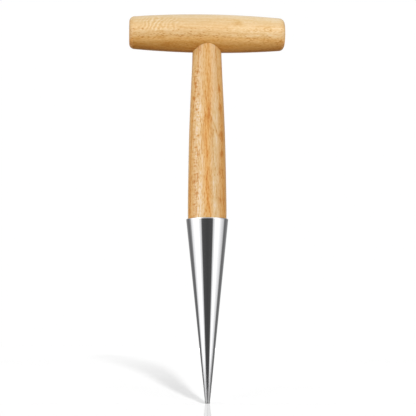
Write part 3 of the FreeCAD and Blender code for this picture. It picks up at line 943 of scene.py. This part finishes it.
# -------------------------------------------------------------------- stage
TO_CAM = Vector((math.sin(AZ), -math.cos(AZ), 0.0))
TO_RIGHT = Vector((math.cos(AZ), math.sin(AZ), 0.0))


# How the pale sweep rises behind the tip, in millimetres.
SWEEP = [(-400.0, 0.0), (-60.0, 0.0), (2.0, 0.0), (12.0, 1.9), (27.0, 5.1), (49.0, 11.0), (81.0, 21.0), (110.0, 27.0), (140.0, 31.2),
         (165.0, 34.0), (208.0, 39.0), (260.0, 42.0), (350.0, 45.0), (600.0, 48.0), (2000.0, 49.0), (6000.0, 49.0)]


def sweep_height(s):
    """Height of the pale sweep at s metres behind the tip, a smooth monotone curve."""
    v = s / MM
    i = max(k for k in range(len(SWEEP) - 1) if SWEEP[k][0] <= max(v, SWEEP[0][0]))

    def slope(k):
        if k <= 0 or k >= len(SWEEP) - 1:
            return 0.0
        a = (SWEEP[k][1] - SWEEP[k - 1][1]) / (SWEEP[k][0] - SWEEP[k - 1][0])
        b = (SWEEP[k + 1][1] - SWEEP[k][1]) / (SWEEP[k + 1][0] - SWEEP[k][0])
        return 0.0 if a * b <= 0 else 2 * a * b / (a + b)

    (x0, y0), (x1, y1) = SWEEP[i], SWEEP[i + 1]
    t = min(1.0, max(0.0, (v - x0) / (x1 - x0)))
    w = x1 - x0
    h = ((2 * t ** 3 - 3 * t ** 2 + 1) * y0 + (t ** 3 - 2 * t ** 2 + t) * slope(i) * w
         + (3 * t ** 2 - 2 * t ** 3) * y1 + (t ** 3 - t ** 2) * slope(i + 1) * w)
    return h * MM


# How much the sweep glows and how pale its paint is, by millimetres behind the tip.
STAGE_GLOW = [(-20, .314), (-8, .314), (0, .35), (5, .408), (12, .417), (27, .388), (49, .364), (65, .428), (81, .533),
              (100, .606), (117, .636), (140, .654), (165, .690), (192, .748), (219, .76), (240, 1.0), (274, 1.6), (320, 1.8)]
STAGE_PAINT = [(-20, 1.0), (49, 1.0), (65, .88), (81, .76), (100, .66), (117, .58), (140, .50), (165, .42), (192, .36), (320, .36)]


def make_stage():
    depth = [-3.0, -1.5, -0.8, -0.4, -0.2, -0.1, -0.05, -0.02, -0.008, -0.002, 0.0, 0.001, 0.002]
    depth += [0.002 + 0.002 * i for i in range(1, 20)] + [0.042 + 0.004 * i for i in range(80)]
    depth += [0.37, 0.40, 0.45, 0.5, 0.6, 0.8, 1.2, 2.0, 3.0, 5.0]
    wide = [-4.0, -2.0, -1.0, -0.6, -0.4] + [-0.3 + 0.02 * i for i in range(31)] + [0.4, 0.6, 1.0, 2.0, 4.0]
    verts = []
    for s in depth:
        for w in wide:
            p = -TO_CAM * s + TO_RIGHT * w
            verts.append((p.x, p.y, sweep_height(s) - 0.00002))
    nw = len(wide)
    faces = [(i * nw + j, i * nw + j + 1, (i + 1) * nw + j + 1, (i + 1) * nw + j)
             for i in range(len(depth) - 1) for j in range(nw - 1)]
    me = bpy.data.meshes.new("stage_sweep")
    me.from_pydata(verts, [], faces)
    me.shade_smooth()
    ob = bpy.data.objects.new("stage_sweep", me)
    bpy.context.scene.collection.objects.link(ob)
    m, n = new_material("stage_white")
    p = object_mm(n)
    x, y, z = n.split(p)
    behind = n.mul(n.vmath("DOT_PRODUCT", p, tuple(TO_CAM), out="Value"), -1.0)
    lift = n.curve(behind, -20.0, 320.0, STAGE_GLOW)
    base = n.new("ShaderNodeBsdfDiffuse")
    n.put(base.inputs["Color"], n.curve(behind, -20.0, 320.0, STAGE_PAINT, 0.40))
    gloss = n.new("ShaderNodeBsdfGlossy")
    gloss.inputs["Roughness"].default_value = 0.035
    gloss.inputs["Color"].default_value = (1, 1, 1, 1)
    glow = n.new("ShaderNodeEmission")
    n.put(glow.inputs["Strength"], lift)
    facing = n.new("ShaderNodeLayerWeight")
    mixed = n.new("ShaderNodeMixShader")
    n.put(mixed.inputs[0], n.step(facing.outputs["Facing"], 0.80, 0.96, 0.04, 0.34))
    n.tree.links.new(base.outputs[0], mixed.inputs[1])
    n.tree.links.new(gloss.outputs[0], mixed.inputs[2])
    added = n.new("ShaderNodeAddShader")
    n.tree.links.new(mixed.outputs[0], added.inputs[0])
    n.tree.links.new(glow.outputs[0], added.inputs[1])
    out = n.new("ShaderNodeOutputMaterial")
    n.tree.links.new(added.outputs[0], out.inputs[0])
    me.materials.append(m)
    # only the camera sees it, so that it neither lights nor mirrors in the object
    ob.visible_diffuse = False
    ob.visible_glossy = False
    ob.visible_transmission = False
    ob.visible_shadow = False
    return ob


stage = make_stage()

# ------------------------------------------------------------------- lights
# A lamp that lights the sweep alone, and draws the tool's soft shadow on it.
key_data = bpy.data.lights.new("sweep_light", "SUN")
key_data.energy = 2.50
key_data.angle = math.radians(6.5)
key = bpy.data.objects.new("sweep_light", key_data)
bpy.context.scene.collection.objects.link(key)
k_az, k_el = math.radians(24.0), math.radians(35.0)
k_dir = (TO_CAM * math.cos(k_az) + TO_RIGHT * math.sin(k_az)) * math.cos(k_el) + Vector((0, 0, math.sin(k_el)))
key.rotation_mode = "QUATERNION"
key.rotation_quaternion = k_dir.to_track_quat("Z", "Y")
key.location = k_dir * 2
lit = bpy.data.collections.new("lit_by_sweep_light")
lit.objects.link(stage)
key.light_linking.receiver_collection = lit

# The studio: two tall soft panels, a broad one above the front, a pale wall behind,
# and darkness between them, as functions of direction round the tool.
world = bpy.data.worlds.new("studio")
bpy.context.scene.world = world
world.use_nodes = True
w = Nodes(world.node_tree)
direction = w.new("ShaderNodeTexCoord").outputs["Generated"]
ahead = w.vmath("DOT_PRODUCT", direction, tuple(TO_CAM), out="Value")
aside = w.vmath("DOT_PRODUCT", direction, tuple(TO_RIGHT), out="Value")
height = w.split(direction)[2]
beta = w.mul(w.math("ARCTAN2", aside, ahead), 180 / math.pi)
elev = w.mul(w.math("ARCSINE", w.math("MINIMUM", w.math("MAXIMUM", height, -1.0), 1.0)), 180 / math.pi)

# Radiance by direction: rows by elevation, each a list of (bearing from the front, radiance).
BEARINGS = (-180, -120, -80, -50, -20, 20, 50, 80, 120, 180)
MIRROR_ROW = [(-180, .24), (-146, .20), (-138, .18), (-126, .17), (-105, .19), (-101, .8), (-96, 1.1), (-86, 1.35),
              (-76, 1.8), (-68, 4.0), (-48, 4.0), (-44, 1.25), (-36, 1.0), (-33, .6), (-30, .12), (-25, .10), (0, .078),
              (25, .10), (30, .12), (33, .6), (36, 1.0), (44, 1.25), (48, 4.0), (68, 4.0), (76, 1.8), (86, 1.35),
              (100, 1.05), (106, .85), (111, .21), (130, .19), (146, .27), (180, .24)]
MIRROR_TOP = 1.62       # the panels as the polished steel mirrors them


def table_row(*values):
    return list(zip(BEARINGS, values + (values[0],)))


SKY = [
    (-90, table_row(.05, .05, .05, .05, .05, .05, .05, .05, .05)),
    (-25, table_row(.02, .03, .02, .02, .02, .02, .02, .02, .03)),
    (-15, MIRROR_ROW),
    (-4, MIRROR_ROW),
    (5, table_row(.60, .20, 2.16, 5.30, 1.83, 1.21, 3.11, .40, .20)),
    (16, table_row(.60, .15, 1.34, 3.98, 1.06, .94, 3.54, 1.05, .15)),
    (30, table_row(.70, .48, 1.11, 2.56, 1.25, 1.77, 2.82, .99, .25)),
    (50, table_row(1.10, .49, .52, 1.12, .22, .65, 1.44, .28, .44)),
    (90, table_row(.55, .55, .55, .55, .55, .55, .55, .55, .55)),
]
BOUNCE = [      # light off the ground, warmer
    (-90, table_row(.10, .10, .10, .10, .10, .10, .10, .10, .10)),
    (-58, table_row(.12, .12, .10, .12, .13, .14, .13, .14, .16)),
    (-40, table_row(.30, .15, .10, .35, .27, .66, .57, .41, .44)),
    (-25, table_row(.20, .30, .28, .59, .76, 1.24, .83, .57, .45)),
    (-15, table_row(0.0, 0.0, 0.0, 0.0, 0.0, 0.0, 0.0, 0.0, 0.0)),
]


def sum_rows(rows, bearing=None):
    bearing = beta if bearing is None else bearing
    total = 0.0
    for i, (here, stops) in enumerate(rows):
        weight = 1.0
        if i > 0:
            below = rows[i - 1][0]
            weight = w.math("DIVIDE", w.sub(elev, below), here - below, clamp=True)
        if i < len(rows) - 1:
            above = rows[i + 1][0]
            fall = w.math("DIVIDE", w.sub(elev, here), above - here, clamp=True)
            weight = w.sub(weight, fall)
        if max(v for _, v in stops) > 0:
            total = w.add(total, w.mul(weight, w.curve(bearing, -180.0, 180.0, stops)))
    return total


def capped(rows):
    return [(e, [(b, min(v, MIRROR_TOP)) for b, v in stops] if stops is MIRROR_ROW else stops) for e, stops in rows]


def excess(rows):
    return [(e, [(b, max(0.0, v - MIRROR_TOP) if stops is MIRROR_ROW else 0.0) for b, v in stops]) for e, stops in rows]


# the right-hand panel leans, so the steel mirrors its far edge further in lower down
seen = w.new("ShaderNodeLightPath")
glossy = seen.outputs["Is Glossy Ray"]
lean = w.curve(elev, -12.0, -1.0, [(-12.0, 50.0), (-11.3, 43.0), (-9.9, 29.0), (-8.2, 18.0), (-6.7, 13.5), (-5.0, 9.0), (-3.15, 4.0), (-1.9, 0.0), (-1.0, 0.0)])
lean = w.mul(w.mul(lean, w.step(beta, 36.0, 72.0)), w.mul(w.step(elev, -24.0, -14.0), glossy))
lean = w.mul(lean, w.step(beta, 150.0, 116.0))
sky, bounce = sum_rows(capped(SKY), w.add(beta, lean)), sum_rows(BOUNCE)
# a low white screen behind, which the floor mirrors at a glancing angle
screen = w.mul(w.step(w.math("ABSOLUTE", beta), 164.0, 168.0), w.mul(w.step(elev, -4.0, -2.0), w.step(elev, 9.0, 7.0)))
sky = w.math("MAXIMUM", sky, screen)
# the bounce is warm where it lights the wood, and faint and neutral in the gloss
sky = w.add(sky, w.mul(sum_rows(excess(SKY)), w.sub(1.0, glossy)))
red = w.add(sky, w.mul(bounce, w.sub(1.0, w.mul(glossy, 0.70))))
green = w.add(sky, w.mul(bounce, w.sub(0.55, w.mul(glossy, 0.25))))
blue = w.add(sky, w.mul(bounce, w.add(0.14, w.mul(glossy, 0.16))))
# lit ground to either side, as the polished steel mirrors it from above
ground = w.mul(w.step(w.math("ABSOLUTE", beta), 36.0, 58.0), w.step(w.math("ABSOLUTE", beta), 156.0, 128.0))
ground = w.mul(w.mul(ground, w.mul(w.step(elev, -22.0, -29.0), w.step(elev, -78.0, -62.0))), w.mul(glossy, 0.80))
red, green, blue = w.add(red, ground), w.add(green, ground), w.add(blue, ground)
studio = w.new("ShaderNodeBackground")
w.put(studio.inputs["Color"], w.join(red, green, blue))
white = w.new("ShaderNodeBackground")
white.inputs["Color"].default_value = (1, 1, 1, 1)
white.inputs["Strength"].default_value = 1.004
pick = w.new("ShaderNodeMixShader")
w.tree.links.new(seen.outputs["Is Camera Ray"], pick.inputs[0])
w.tree.links.new(studio.outputs[0], pick.inputs[1])
w.tree.links.new(white.outputs[0], pick.inputs[2])
w.tree.links.new(pick.outputs[0], w.new("ShaderNodeOutputWorld").inputs[0])

view = bpy.context.scene.view_settings
view.view_transform = "Standard"
view.look = "None"
view.exposure = 0.0
view.gamma = 1.0
